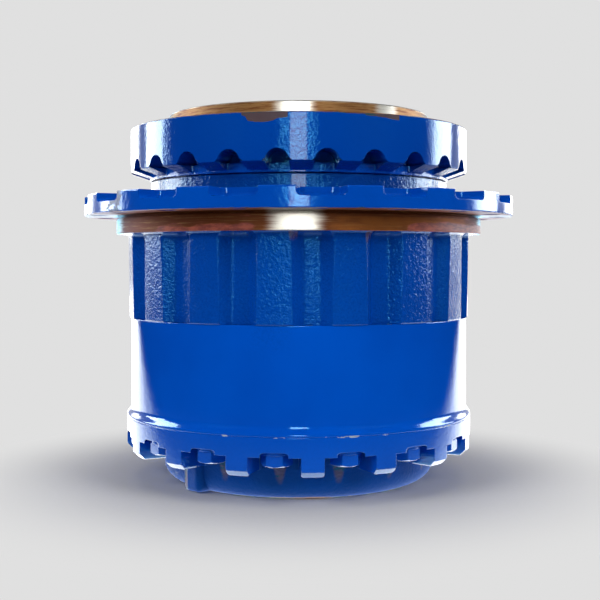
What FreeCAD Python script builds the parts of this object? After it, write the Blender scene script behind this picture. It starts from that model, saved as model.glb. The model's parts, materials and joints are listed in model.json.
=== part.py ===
import FreeCAD, Part
import math
import os

# Excavator final drive: a two-stage planetary drive with a turning housing.
# Millimetres, +Z up along the drive axis, origin at the middle of the end cover's resting face.
# The hub with the frame flange is at the top and stands still; housing, ring gear and cover turn round it.

V = FreeCAD.Vector
UP = V(0, 0, 1)

# ---- clearances ----
running_gap = 0.25        # between a rolling element and its race or pocket
seat_gap = 0.05           # between a spigot and its bore, a screw and its thread, a pin and its hole
pin_gap = 0.02            # planet pin in its carrier
end_play = 0.3            # axial play of planets, suns and input shaft
bolt_clearance = 0.5      # radial, round a bolt in a plain hole
labyrinth_gap = 1.4       # between turning and standing rings outside the face seal
overcut = 1.0             # how far a cutting body runs past the face that it opens
neck_gap = 1.2            # open running gap seen from outside

# ---- hub with frame flange ----
total_height = 438.0
frame_pilot_r = 159.0
frame_pilot_height = 18.0
frame_flange_r = 205.2
frame_flange_thickness = 52.0
neck_r = 182.3
neck_ring_height = 10.4
frame_edge_slope = 7.5    # rise of the flange's underside from the neck to its rim
scallop_count = 24
scallop_angle = -96.5
scallop_r = 13.0
scallop_depth = 34.0
scallop_flare = 3.5
slot_corner = 4.0
slot_sink = 1.0
frame_thread_r = 10.0
frame_thread_depth = 36.0
frame_bolt_circle = 182.0
motor_bore_r = 115.0
motor_pilot_length = 70.0
motor_relief_r = 116.0    # clearance turned below the motor pilot
motor_bore_depth = 106.0
motor_thread_r = 8.0
motor_thread_depth = 32.0
motor_thread_count = 12
motor_bolt_circle = 137.0
hub_cavity_r = 90.0
hub_cavity_depth = 70.0
hub_web_thickness = 19.0
hub_foot_bore_r = 70.0
hub_shoulder_height = 7.0
hub_shoulder_r = 132.0
hub_foot_above_ring = 12.0

# ---- rotating housing ----
housing_neck_r = 181.0
housing_neck_wall = 6.8
bearing_floor = 6.0
sprocket_flange_r = 260.2
sprocket_flange_thickness = 23.2
sprocket_face_below_neck = 17.9   # from the housing's top to the top of the sprocket flange
notch_count = 18
notch_angle = -84.85
notch_depth = 10.5
notch_back_r = 229.4
notch_back_width = 42.0
notch_mouth_width = 55.0
notch_corner = 5.5
sprocket_bolt_circle = 243.0
sprocket_bolt_r = 10.0
sprocket_pilot_r = 222.2
sprocket_pilot_length = 18.0
undercut_depth = 2.7
undercut_width = 3.3
rib_count = 16
rib_angle = -97.1
rib_top_r = 208.3
rib_foot_r = 206.5
rib_height = 100.0
valley_r = 194.7
valley_floor_width = 20.0
valley_corner = 8.0
rib_corner = 6.0
housing_groove_width = 3.6
housing_groove_depth = 2.6
cover_thread_spare = 8.0

# ---- ring gear ----
ring_r = 204.6
ring_flare_r = 209.6
ring_flare_height = 8.8
ring_height = 117.0
spigot_r = 176.0
spigot_bore_r = 171.0
housing_spigot_length = 8.0
cover_spigot_length = 5.0
cover_groove_width = 2.6
cover_groove_depth = 1.9
flare_shoulder = 2.6
flare_round = 9.0
flare_corner = 3.0
ring_tooth_rim = 5.0
edge_chamfer = 0.8
dowel_circle = 186.0
dowel_r = 5.0
dowel_length = 28.0
dowel_count = 4

# ---- end cover ----
cover_flange_thickness = 21.6
cover_tooth_height = 15.2
cover_tooth_width = 24.6
cover_tooth_edge = 3.0
tooth_toe_depth = 6.0      # the bevelled toe below and behind the front of a tooth
tooth_toe_setback = 1.0
cover_height = 77.0
cover_wall_r = 167.2
cover_wall_foot_r = 163.4
cover_round = 22.0
cover_cavity_r = 150.0
cover_floor = 16.0
cover_cavity_round = 12.0
spotface_r = 24.3
spotface_depth = 5.2
spotface_corner = 3.0
boss_angle = -136.0
boss_width = 34.0
boss_root_r = 120.0
boss_lift = 1.2
boss_reach = 172.0
boss_height = 50.0
boss_round = 8.0
plug_circle = 126.0
plug_angles = (boss_angle, boss_angle + 120.0, boss_angle + 240.0)
plug_r = 12.0
plug_head_r = 17.0
plug_head_height = 4.0
plug_recess = 6.0
plug_ring_thickness = 1.5
plug_socket_flats = 12.0
plug_socket_depth = 7.0
thrust_boss_r = 32.0
thrust_pad_r = 20.0
thrust_pad_height = 10.0
thrust_pad_seat = 4.0
thrust_pad_level = 56.0

# ---- cover bolts ----
cover_bolt_circle = 190.0
cover_bolt_r = 10.0
cover_bolt_length = 170.0
bolt_head_flats = 30.0
bolt_head_height = 12.5
lock_washer_r = 16.6
lock_washer_thickness = 3.7
lock_washer_slit = 2.5

# ---- main bearings ----
bearing_bore_r = 120.0
bearing_outer_r = 160.0
bearing_width = 38.0
ball_r = 12.0
ball_count = 28
bearing_shoulder_r = 152.0
ring_wall = 14.0
open_shoulder_cut = 4.0
cage_wall = 7.0
cage_width = 26.0
bearing_spread = 39.0     # between the two outer rings
shim_thickness = 2.0

# ---- face seal ----
seal_mean_z_below_neck = 14.0
seal_ring_bore_r = 150.0
seal_lip_r = 164.0
seal_lip_thickness = 4.0
seal_body_r = 157.5
seal_ring_length = 14.0
seal_wall_mouth_r = 169.0
seal_wall_back_r = 167.0
seal_half_gap = 0.05
toric_r = 5.0
toric_offset = 10.0
seal_mouth_gap = 2.0
seal_roof_gap = 2.0
seal_pocket_depth = 16.0
seal_inner_wall_r = 146.0

# ---- gears ----
module = 5.0
pressure_angle = 25.0
ring_teeth = 66
output_sun_teeth = 18
output_planet_teeth = 24
output_planet_count = 4
input_sun_teeth = 12
input_planet_teeth = 27
input_planet_count = 3
flank_thinning = 0.14     # taken off each flank at the pitch circle
tip_shortening = 0.3
root_depth = 1.25
output_first_angle = -90.0
input_first_angle = -90.0
spline_play = 0.08

# ---- output stage ----
carrier_r = 152.0
upper_cheek = 18.0
lower_cheek = 12.0
planet_pocket_width = 51.0
planet_pocket_gap = 2.0
output_pin_r = 22.0
output_roller_r = 5.0
output_roller_count = 12
washer_thickness = 1.5
output_washer_r = 42.0
lock_pin_r = 4.0
lock_pin_depth = 29.0
carrier_screw_circle = 104.0
carrier_screw_r = 6.0
carrier_screw_length = 90.0
carrier_screw_head_r = 9.0
screw_socket_flats = 10.0
screw_socket_depth = 6.0
carrier_dowel_r = 8.0
carrier_dowel_length = 30.0
carrier_mouth_r = 36.0
sun_pocket_gap = 3.3
sun_bore_r = 20.0
sun_ring_r = 51.5
sun_ring_depth = 4.0
sun_ring_thickness = 2.2
sun_ring_slit = 14.0
sun_top_gap = 2.0
cage_rim = 3.0
cage_share = 0.45         # of the roller radius, on each side of the roller circle

# ---- input stage ----
stage_gap = 5.0           # between the two carriers
input_carrier_r = 128.0
input_carrier_thickness = 14.0
input_carrier_lip = 3.0
input_carrier_lip_r = 38.0
input_pin_r = 16.0
input_roller_r = 4.0
input_roller_count = 12
input_planet_width = 21.6
input_washer_r = 30.0
input_pin_tail = 2.5
input_ring_depth = 1.5
input_ring_thickness = 1.8
input_ring_r = 19.5
input_ring_slit = 7.0
input_lightening_r = 18.0
input_shaft_r = 14.0
input_foot_r = 12.0
shaft_seal_r = 26.0
shaft_seal_width = 10.0
shaft_seal_lip_gap = 0.1
shaft_seal_lip_r = 18.0
shaft_seal_shell_r = 20.0
shaft_seal_lip_low = 3.0
shaft_seal_lip_high = 5.0
seal_seat_floor = 2.0
web_bore_r = 24.0
coupling_r = 26.0
coupling_length = 64.0
coupling_engagement = 33.0
coupling_reach = 29.0     # above the step of the motor bore
coupling_blank_r = 8.0
spline_relief = 3.0
coupling_ring_r = 19.0
coupling_ring_thickness = 2.4
coupling_ring_groove = 1.2
coupling_ring_slit = 6.0
spline_module = 2.0
spline_teeth = 16
spline_root = 1.2
spline_tip = 1.0

# ---- heights that follow ----
frame_face_z = total_height - frame_pilot_height
frame_edge_z = frame_face_z - frame_flange_thickness
neck_z = frame_edge_z - neck_ring_height
housing_top_z = neck_z - neck_gap
sprocket_face_z = housing_top_z - sprocket_face_below_neck
sprocket_back_z = sprocket_face_z - sprocket_flange_thickness
pilot_end_z = sprocket_back_z - undercut_width - sprocket_pilot_length
ring_top_z = pilot_end_z - rib_height
cover_top_z = ring_top_z - ring_height
notch_floor_z = cover_top_z - cover_flange_thickness
spotface_z = notch_floor_z + spotface_depth
tooth_foot_z = notch_floor_z - cover_tooth_height
tooth_toe_z = tooth_foot_z - tooth_toe_depth
cover_base_z = cover_top_z - cover_height
seal_z = neck_z - seal_mean_z_below_neck
hub_foot_z = ring_top_z + hub_foot_above_ring
lower_bearing_z = hub_foot_z + shim_thickness
upper_bearing_z = lower_bearing_z + bearing_width + bearing_spread
hub_shoulder_z = upper_bearing_z + bearing_width
carrier_low_z = hub_foot_z - upper_cheek - planet_pocket_width - lower_cheek
pocket_low_z = carrier_low_z + lower_cheek
pocket_high_z = pocket_low_z + planet_pocket_width
input_carrier_top_z = carrier_low_z - stage_gap
input_carrier_low_z = input_carrier_top_z - input_carrier_thickness
input_planet_top_z = input_carrier_low_z - washer_thickness - end_play
input_planet_low_z = input_planet_top_z - input_planet_width
input_washer_low_z = input_planet_low_z - end_play - washer_thickness
thrust_pad_z = cover_base_z + thrust_pad_level
hub_cavity_z = total_height - motor_bore_depth - hub_cavity_depth
web_low_z = hub_cavity_z - hub_web_thickness

# ---- radii that follow ----
ring_pitch_r = ring_teeth * module / 2
output_centre = (output_sun_teeth + output_planet_teeth) * module / 2
input_centre = (input_sun_teeth + input_planet_teeth) * module / 2
output_roller_circle = output_pin_r + running_gap + output_roller_r
output_planet_bore_r = output_roller_circle + output_roller_r + running_gap
input_roller_circle = input_pin_r + running_gap + input_roller_r
input_planet_bore_r = input_roller_circle + input_roller_r + running_gap
ball_circle = (bearing_bore_r + bearing_outer_r) / 2
labyrinth_r = housing_neck_r - housing_neck_wall


# ---- drawing helpers ----
def turned_copy(shape, degrees):
    copy = shape.copy()
    copy.rotate(V(0, 0, 0), UP, degrees)
    return copy


def spread(shape, count, first=0.0):
    return [turned_copy(shape, first + 360.0 * index / count) for index in range(count)]


def disc(radius, low, high):
    return Part.makeCylinder(radius, high - low, V(0, 0, low))


def pipe(inner, outer, low, high):
    return disc(outer, low, high).cut(disc(inner, low, high))


def post(radius, low, high, distance, degrees=0.0):
    shape = Part.makeCylinder(radius, high - low, V(distance, 0, low))
    return turned_copy(shape, degrees)


def outline(points, place):
    """Closed face through (u, v) or (u, v, corner radius) points."""
    count = len(points)
    flat = [V(point[0], point[1], 0) for point in points]
    corners = []
    for index, point in enumerate(points):
        corner = flat[index]
        radius = point[2] if len(point) > 2 else 0.0
        if radius == 0.0:
            corners.append((corner, corner, corner))
            continue
        before = (flat[index - 1] - corner).normalize()
        after = (flat[(index + 1) % count] - corner).normalize()
        half = before.getAngle(after) / 2
        reach = radius / math.tan(half)
        middle = (before + after).normalize() * (radius / math.sin(half) - radius)
        corners.append((corner + before * reach, corner + middle, corner + after * reach))
    edges = []
    for index, (start, middle, end) in enumerate(corners):
        if (end - start).Length > 1e-6:
            edges.append(Part.Arc(place(start), place(middle), place(end)).toShape())
        following = corners[(index + 1) % count][0]
        if (following - end).Length > 1e-6:
            edges.append(Part.makeLine(place(end), place(following)))
    return Part.Face(Part.Wire(edges))


def lathe(points):
    """Solid turned about the drive axis from a section of (radius, height[, corner radius]) points."""
    face = outline(points, lambda p: V(p.x, 0, p.y))
    return face.revolve(V(0, 0, 0), UP, 360)


def prism(points, low, high):
    """Solid from a plan outline of (x, y[, corner radius]) points."""
    face = outline(points, lambda p: V(p.x, p.y, low))
    return face.extrude(V(0, 0, high - low))


def soft_end(shape, height, radius, open_x):
    """Rounds the end edges of a prism at one height, except the edge at its open mouth."""
    edges = []
    for edge in shape.Edges:
        box = edge.BoundBox
        at_height = abs(box.ZMin - height) < 1e-4 and abs(box.ZMax - height) < 1e-4
        if at_height and box.XMin < open_x - 1e-4:
            edges.append(edge)
    return shape.makeFillet(radius, edges)


def compound(shapes):
    return Part.makeCompound(shapes)


def split_ring(inner, outer, low, high, slit, degrees=0.0):
    gap = Part.makeBox(outer * 2, slit, high - low + 2, V(0, -slit / 2, low - 1))
    return pipe(inner, outer, low, high).cut(turned_copy(gap, degrees))


# ---- gear teeth ----
def involute(angle):
    return math.tan(angle) - angle


def half_tooth(teeth, size, radius, thinning):
    """Half the angle of a tooth at a radius, in radians."""
    pitch_r = teeth * size / 2
    pressure = math.radians(pressure_angle)
    base_r = pitch_r * math.cos(pressure)
    at_radius = math.acos(min(1.0, base_r / radius))
    return math.pi / (2 * teeth) - thinning / pitch_r + involute(pressure) - involute(at_radius)


def gear_face(teeth, size, root_r, tip_r, thinning, turn=0.0):
    """Plan face of a spur gear whose first tooth is centred on the angle turn."""
    base_r = teeth * size / 2 * math.cos(math.radians(pressure_angle))
    start_r = max(root_r, base_r)
    steps = 4
    radii = [start_r + (tip_r - start_r) * (index / steps) ** 1.5 for index in range(steps + 1)]
    angles = [half_tooth(teeth, size, radius, thinning) for radius in radii]

    def at(radius, angle):
        return V(radius * math.cos(angle), radius * math.sin(angle), 0)

    edges = []
    for tooth in range(teeth):
        centre = math.radians(turn) + 2 * math.pi * tooth / teeth
        following = centre + 2 * math.pi / teeth
        rising = [at(radius, centre - angle) for radius, angle in zip(radii, angles)]
        falling = [at(radius, centre + angle) for radius, angle in zip(radii, angles)][::-1]
        if root_r < base_r:
            edges.append(Part.makeLine(at(root_r, centre - angles[0]), rising[0]))
        edges.append(Part.Arc(rising[0], rising[1], rising[2]).toShape())
        edges.append(Part.Arc(rising[2], rising[3], rising[4]).toShape())
        edges.append(Part.Arc(rising[4], at(tip_r, centre), falling[0]).toShape())
        edges.append(Part.Arc(falling[0], falling[1], falling[2]).toShape())
        edges.append(Part.Arc(falling[2], falling[3], falling[4]).toShape())
        if root_r < base_r:
            edges.append(Part.makeLine(falling[4], at(root_r, centre + angles[0])))
        low = at(root_r, centre + angles[0])
        high = at(root_r, following - angles[0])
        edges.append(Part.Arc(low, at(root_r, (centre + following) / 2), high).toShape())
    return Part.Face(Part.Wire(edges))


def gear(teeth, low, high, turn=0.0):
    pitch_r = teeth * module / 2
    root_r = pitch_r - root_depth * module
    tip_r = pitch_r + module - tip_shortening
    face = gear_face(teeth, module, root_r, tip_r, flank_thinning, turn)
    face.translate(V(0, 0, low))
    return face.extrude(V(0, 0, high - low))


def planet_turn(planet_teeth, direction):
    """Angle of a planet's first tooth that puts it in mesh with the ring gear, whose first space is at 0."""
    ring_phase = ring_teeth * direction / 360.0
    return direction - 360.0 / planet_teeth * ring_phase


def sun_turn(sun_teeth, planet_teeth, direction):
    """Angle of a sun's first tooth that puts it in mesh with the planet in one direction."""
    planet_phase = planet_teeth * (direction + 180.0 - planet_turn(planet_teeth, direction)) / 360.0
    return direction - 360.0 / sun_teeth * (0.5 - planet_phase)


def stations(count, first):
    return [first + 360.0 * index / count for index in range(count)]


# ---- hub ----
def scallop():
    """Radial notch with a round crown and flared feet, open through the flange's slope."""
    start_r = frame_flange_r - scallop_depth
    side = scallop_r + scallop_flare
    low = frame_edge_z
    foot = math.sqrt(scallop_r ** 2 - scallop_flare ** 2)
    left = V(start_r, -foot, low + scallop_flare)
    crown = V(start_r, 0, low + scallop_r)
    right = V(start_r, foot, low + scallop_flare)
    left_foot = V(start_r, -side, low)
    right_foot = V(start_r, side, low)
    edges = [Part.Arc(left, crown, right).toShape(), Part.makeLine(right, right_foot),
             Part.makeLine(right_foot, left_foot), Part.makeLine(left_foot, left)]
    notch = Part.Face(Part.Wire(edges)).extrude(V(scallop_depth + overcut, 0, 0))
    slot_back = neck_r - slot_sink
    slot_mouth = frame_flange_r + overcut
    slot = prism([(slot_back, -scallop_r, slot_corner), (slot_mouth, -scallop_r),
                  (slot_mouth, scallop_r), (slot_back, scallop_r, slot_corner)], low - neck_ring_height, low)
    return notch, slot.cut(disc(neck_r, neck_z - overcut, low + overcut))


def hub_spindle():
    pocket_roof = seal_z + seal_pocket_depth + seal_roof_gap
    seal_seat_z = hub_cavity_z - shaft_seal_width - seal_seat_floor
    body = lathe([
        (motor_bore_r, total_height),
        (frame_pilot_r, total_height, 1.5),
        (frame_pilot_r, frame_face_z),
        (frame_flange_r, frame_face_z, 1.5),
        (frame_flange_r, frame_edge_z, 1.0),
        (neck_r, frame_edge_z - frame_edge_slope, 1.5),
        (neck_r, neck_z, 0.6),
        (labyrinth_r - labyrinth_gap, neck_z),
        (labyrinth_r - labyrinth_gap, seal_z + seal_mouth_gap),
        (seal_wall_mouth_r, seal_z + seal_mouth_gap),
        (seal_wall_back_r, pocket_roof, 1.0),
        (seal_inner_wall_r, pocket_roof, 1.0),
        (seal_inner_wall_r, hub_shoulder_z + hub_shoulder_height),
        (hub_shoulder_r, hub_shoulder_z + hub_shoulder_height),
        (hub_shoulder_r, hub_shoulder_z),
        (bearing_bore_r - pin_gap, hub_shoulder_z),
        (bearing_bore_r - pin_gap, hub_foot_z, 1.5),
        (hub_foot_bore_r, hub_foot_z, 1.5),
        (hub_foot_bore_r, web_low_z, 4.0),
        (web_bore_r, web_low_z),
        (web_bore_r, seal_seat_z),
        (shaft_seal_r, seal_seat_z),
        (shaft_seal_r, hub_cavity_z),
        (hub_cavity_r, hub_cavity_z, 6.0),
        (hub_cavity_r, total_height - motor_bore_depth),
        (motor_relief_r, total_height - motor_bore_depth),
        (motor_relief_r, total_height - motor_pilot_length),
        (motor_bore_r, total_height - motor_pilot_length),
    ])
    notch, slot = scallop()
    cuts = spread(notch, scallop_count, scallop_angle) + spread(slot, scallop_count, scallop_angle)
    frame_hole = post(frame_thread_r, frame_face_z - frame_thread_depth, total_height, frame_bolt_circle)
    cuts += spread(frame_hole, scallop_count, scallop_angle + 180.0 / scallop_count)
    motor_hole = post(motor_thread_r, total_height - motor_thread_depth, total_height + 1, motor_bolt_circle)
    cuts += spread(motor_hole, motor_thread_count, scallop_angle)
    screw_hole = post(carrier_screw_r + seat_gap, hub_foot_z - 1, screw_end_z() + 4, carrier_screw_circle)
    cuts += spread(screw_hole, output_planet_count, web_angle())
    dowel_hole = post(carrier_dowel_r + seat_gap, hub_foot_z - 1, carrier_dowel_top_z() + 1,
                      carrier_screw_circle)
    cuts += spread(dowel_hole, output_planet_count, carrier_dowel_angle())
    return body.cut(cuts)


# ---- housing ----
def sprocket_notch():
    mouth_r = sprocket_flange_r + 6
    floor_z = sprocket_face_z - notch_depth
    corner = notch_corner + 3
    half_back = notch_back_width / 2
    half_mouth = notch_mouth_width / 2
    shape = prism([(notch_back_r, -half_back, corner), (mouth_r, -half_mouth),
                   (mouth_r, half_mouth), (notch_back_r, half_back, corner)], floor_z, sprocket_face_z + 5)
    return soft_end(shape, floor_z, notch_corner, mouth_r)


def valley():
    """Recess between two ribs, with sloping flanks and a rounded arch under the pilot band."""
    mouth_r = rib_top_r + 8
    half_floor = valley_floor_width / 2
    flank = rib_top_r - valley_r
    half_mouth = half_floor + flank - 1.0
    half_pitch = math.radians(180.0 / rib_count)
    far = (rib_top_r + 0.4) * math.sin(half_pitch * 0.9)
    far_r = (rib_top_r + 0.8) * math.cos(half_pitch * 0.9)
    sides = [(valley_r, -half_floor, valley_corner), (rib_top_r - 1.2, -half_mouth, rib_corner),
             (far_r, -far), (mouth_r, -far)]
    mirrored = [(point[0], -point[1]) + tuple(point[2:]) for point in sides[::-1]]
    shape = prism(sides + mirrored, ring_top_z - 1, pilot_end_z)
    return soft_end(shape, pilot_end_z, valley_corner - 0.5, mouth_r)


def rotating_housing():
    seat_r = bearing_outer_r + pin_gap
    pocket_floor = seal_z - seal_pocket_depth - seal_roof_gap
    bearing_foot = lower_bearing_z - bearing_floor
    body = lathe([
        (labyrinth_r, housing_top_z),
        (housing_neck_r, housing_top_z, 1.0),
        (housing_neck_r, sprocket_face_z, 4.0),
        (sprocket_flange_r, sprocket_face_z, 1.5),
        (sprocket_flange_r, sprocket_back_z, 1.5),
        (sprocket_pilot_r - undercut_depth, sprocket_back_z),
        (sprocket_pilot_r - undercut_depth, sprocket_back_z - undercut_width),
        (sprocket_pilot_r, sprocket_back_z - undercut_width, 0.6),
        (sprocket_pilot_r, pilot_end_z, 0.8),
        (rib_top_r, pilot_end_z, 3.0),
        (rib_foot_r, ring_top_z, 1.5),
        (spigot_r - seat_gap, ring_top_z),
        (spigot_r - seat_gap, ring_top_z - housing_spigot_length + 0.2),
        (spigot_bore_r, ring_top_z - housing_spigot_length + 0.2),
        (spigot_bore_r, bearing_foot),
        (seat_r, bearing_foot),
        (seat_r, lower_bearing_z + bearing_width),
        (bearing_shoulder_r, lower_bearing_z + bearing_width),
        (bearing_shoulder_r, upper_bearing_z),
        (seat_r, upper_bearing_z),
        (seat_r, pocket_floor),
        (seal_wall_back_r, pocket_floor),
        (seal_wall_mouth_r, seal_z - seal_mouth_gap),
        (labyrinth_r, seal_z - seal_mouth_gap),
    ])
    cuts = spread(sprocket_notch(), notch_count, notch_angle)
    flange_hole = post(sprocket_bolt_r + bolt_clearance, sprocket_back_z - 1, sprocket_face_z,
                       sprocket_bolt_circle)
    cuts += spread(flange_hole, notch_count, notch_angle)
    cuts += spread(valley(), rib_count, rib_angle + 180.0 / rib_count)
    thread = post(cover_bolt_r + seat_gap, ring_top_z - 1, bolt_end_z() + cover_thread_spare,
                  cover_bolt_circle)
    cuts += spread(thread, rib_count, rib_angle)
    pin_hole = post(dowel_r + seat_gap, ring_top_z - 1, ring_top_z + dowel_length / 2 + 1, dowel_circle)
    cuts += spread(pin_hole, dowel_count, dowel_angle())
    cuts.append(groove(*housing_groove()))
    return body.cut(cuts)


# ---- static seals ----
def housing_groove():
    return ring_top_z - housing_spigot_length / 2, housing_groove_width, housing_groove_depth


def cover_groove():
    return cover_top_z + cover_spigot_length / 2, cover_groove_width, cover_groove_depth


def groove(middle_z, width, depth):
    return pipe(spigot_r - seat_gap - depth, spigot_r + 2, middle_z - width / 2, middle_z + width / 2)


def o_ring(middle_z, width, depth):
    """Ring that fills the groove's depth between its floor and the bore outside."""
    section_r = (depth + seat_gap) / 2 - 0.04
    return Part.makeTorus(spigot_r - section_r - 0.04, section_r, V(0, 0, middle_z), UP)


# ---- ring gear ----
def ring_gear():
    teeth_low = cover_top_z + cover_spigot_length + 0.3
    teeth_high = ring_top_z - housing_spigot_length
    tip_r = ring_pitch_r - module + tip_shortening
    root_r = ring_pitch_r + root_depth * module
    flare_z = cover_top_z + ring_flare_height
    body = lathe([
        (spigot_r, ring_top_z),
        (ring_r, ring_top_z, edge_chamfer),
        (ring_r, flare_z, flare_round),
        (ring_flare_r, cover_top_z + flare_shoulder, flare_corner),
        (ring_flare_r, cover_top_z, edge_chamfer),
        (spigot_r, cover_top_z),
        (spigot_r, teeth_low),
        (tip_r - ring_tooth_rim, teeth_low),
        (tip_r - ring_tooth_rim, teeth_high),
        (spigot_r, teeth_high),
    ])
    space = gear_face(ring_teeth, module, tip_r, root_r, -flank_thinning)
    space.translate(V(0, 0, teeth_low - 1))
    cuts = [space.extrude(V(0, 0, teeth_high - teeth_low + 2))]
    bolt_hole = post(cover_bolt_r + bolt_clearance, cover_top_z - 1, ring_top_z + 1, cover_bolt_circle)
    cuts += spread(bolt_hole, rib_count, rib_angle)
    pin_hole = post(dowel_r + seat_gap, ring_top_z - dowel_length / 2 - 1, ring_top_z + 1, dowel_circle)
    cuts += spread(pin_hole, dowel_count, dowel_angle())
    return body.cut(cuts)


def dowel_angle():
    return rib_angle + 180.0 / rib_count


def housing_dowels():
    pin = post(dowel_r, ring_top_z - dowel_length / 2, ring_top_z + dowel_length / 2, dowel_circle)
    return compound(spread(pin, dowel_count, dowel_angle()))


# ---- end cover ----
def tooth_block(foot_z, reach):
    """Rounded block of a tooth, from inside the cover's wall out to reach."""
    root_r = cover_cavity_r + 8
    block = Part.makeBox(reach - root_r, cover_tooth_width, notch_floor_z - foot_z + 6,
                         V(root_r, -cover_tooth_width / 2, foot_z))
    low_edges = [edge for edge in block.Edges
                 if edge.BoundBox.ZMax < foot_z + 1e-4 and edge.BoundBox.YLength < 1e-4]
    return block.makeFillet(cover_tooth_edge, low_edges)


def cover_tooth():
    toe_r = ring_flare_r - tooth_toe_setback
    front = tooth_block(tooth_foot_z, ring_flare_r + overcut)
    toe = tooth_block(tooth_toe_z, ring_flare_r + overcut)
    bevel = lathe([(0, tooth_toe_z - overcut), (toe_r - tooth_toe_depth - overcut, tooth_toe_z - overcut),
                   (toe_r, tooth_foot_z), (toe_r, cover_top_z), (0, cover_top_z)])
    return front.common(disc(ring_flare_r, tooth_toe_z, cover_top_z)).fuse(toe.common(bevel))


def spotface():
    """Seat under a bolt head, milled with a rounded corner and run out through the wall below it."""
    cutter = lathe([(0, cover_base_z - overcut), (spotface_r, cover_base_z - overcut),
                    (spotface_r, spotface_z, spotface_corner), (0, spotface_z)])
    cutter.translate(V(cover_bolt_circle, 0, 0))
    return cutter


def plug_boss():
    block = Part.makeBox(boss_reach - boss_root_r, boss_width, boss_height,
                         V(boss_root_r, -boss_width / 2, cover_base_z + boss_lift))
    outer = [edge for edge in block.Edges if edge.BoundBox.XMax > boss_reach - 1e-4]
    return turned_copy(block.makeFillet(boss_round, outer), boss_angle)


def end_cover():
    body = lathe([
        (0, cover_base_z),
        (cover_wall_foot_r, cover_base_z, cover_round),
        (cover_wall_r, notch_floor_z),
        (ring_flare_r, notch_floor_z),
        (ring_flare_r, cover_top_z, edge_chamfer),
        (spigot_r - seat_gap, cover_top_z),
        (spigot_r - seat_gap, cover_top_z + cover_spigot_length),
        (spigot_bore_r, cover_top_z + cover_spigot_length),
        (spigot_bore_r, cover_top_z - 3),
        (cover_cavity_r, cover_top_z - 3),
        (cover_cavity_r, cover_base_z + cover_floor, cover_cavity_round),
        (thrust_boss_r, cover_base_z + cover_floor, 5.0),
        (thrust_boss_r, thrust_pad_z + thrust_pad_seat, 2.0),
        (thrust_pad_r + seat_gap, thrust_pad_z + thrust_pad_seat),
        (thrust_pad_r + seat_gap, thrust_pad_z),
        (0, thrust_pad_z),
    ])
    additions = spread(cover_tooth(), rib_count, rib_angle + 180.0 / rib_count)
    hollow = disc(cover_cavity_r, cover_base_z + cover_floor, cover_top_z)
    additions.append(plug_boss().cut(hollow))
    body = body.fuse(additions)
    cuts = spread(spotface(), rib_count, rib_angle)
    bolt_hole = post(cover_bolt_r + bolt_clearance, cover_base_z, cover_top_z + 1, cover_bolt_circle)
    cuts += spread(bolt_hole, rib_count, rib_angle)
    for angle in plug_angles:
        cuts.append(post(plug_r + seat_gap, cover_base_z, cover_base_z + cover_floor + 1, plug_circle, angle))
        cuts.append(post(plug_head_r + 2, cover_base_z - 1, cover_base_z + plug_recess, plug_circle, angle))
    cuts.append(groove(*cover_groove()))
    return body.cut(cuts).removeSplitter()


def thrust_pad():
    return disc(thrust_pad_r, thrust_pad_z, thrust_pad_z + thrust_pad_height)


def plug_parts():
    ring_low = cover_base_z + plug_recess - plug_ring_thickness
    head_low = ring_low - plug_head_height
    plugs = []
    rings = []
    for angle in plug_angles:
        shank = post(plug_r, ring_low, cover_base_z + cover_floor, plug_circle, angle)
        head = post(plug_head_r, head_low, ring_low, plug_circle, angle)
        socket = hexagon(plug_socket_flats, head_low - overcut, head_low + plug_socket_depth)
        socket.translate(V(plug_circle, 0, 0))
        plugs.append(shank.fuse(head).cut(turned_copy(socket, angle)))
        ring = pipe(plug_r + 0.15, plug_head_r - 0.5, ring_low, ring_low + plug_ring_thickness)
        ring.translate(V(plug_circle, 0, 0))
        rings.append(turned_copy(ring, angle))
    return compound(plugs), compound(rings)


# ---- cover bolts ----
def bolt_seat_z():
    return spotface_z - lock_washer_thickness


def bolt_end_z():
    return bolt_seat_z() + cover_bolt_length


def hexagon(flats, low, high):
    """Hexagonal prism about the axis with one flat facing +X."""
    corner_r = flats / math.sqrt(3)
    turns = [math.radians(30 + 60 * index) for index in range(6)]
    return prism([(corner_r * math.cos(turn), corner_r * math.sin(turn)) for turn in turns], low, high)


def hex_bolt():
    low = bolt_seat_z() - bolt_head_height
    corner_r = bolt_head_flats / math.sqrt(3)
    flat_r = bolt_head_flats / 2
    head = hexagon(bolt_head_flats, low, bolt_seat_z())
    dome = lathe([(0, low), (flat_r - 0.6, low), (corner_r + 0.4, low + 2.0), (corner_r + 0.4, bolt_seat_z()),
                  (0, bolt_seat_z())])
    shank = disc(cover_bolt_r, bolt_seat_z(), bolt_end_z())
    bolt = head.common(dome).fuse(shank)
    bolt.translate(V(cover_bolt_circle, 0, 0))
    return bolt


def cover_bolts():
    return compound(spread(hex_bolt(), rib_count, rib_angle))


def lock_washers():
    ring = split_ring(cover_bolt_r + 0.4, lock_washer_r, bolt_seat_z(), spotface_z, lock_washer_slit, 115.0)
    ring.translate(V(cover_bolt_circle, 0, 0))
    return compound(spread(ring, rib_count, rib_angle))


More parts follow.
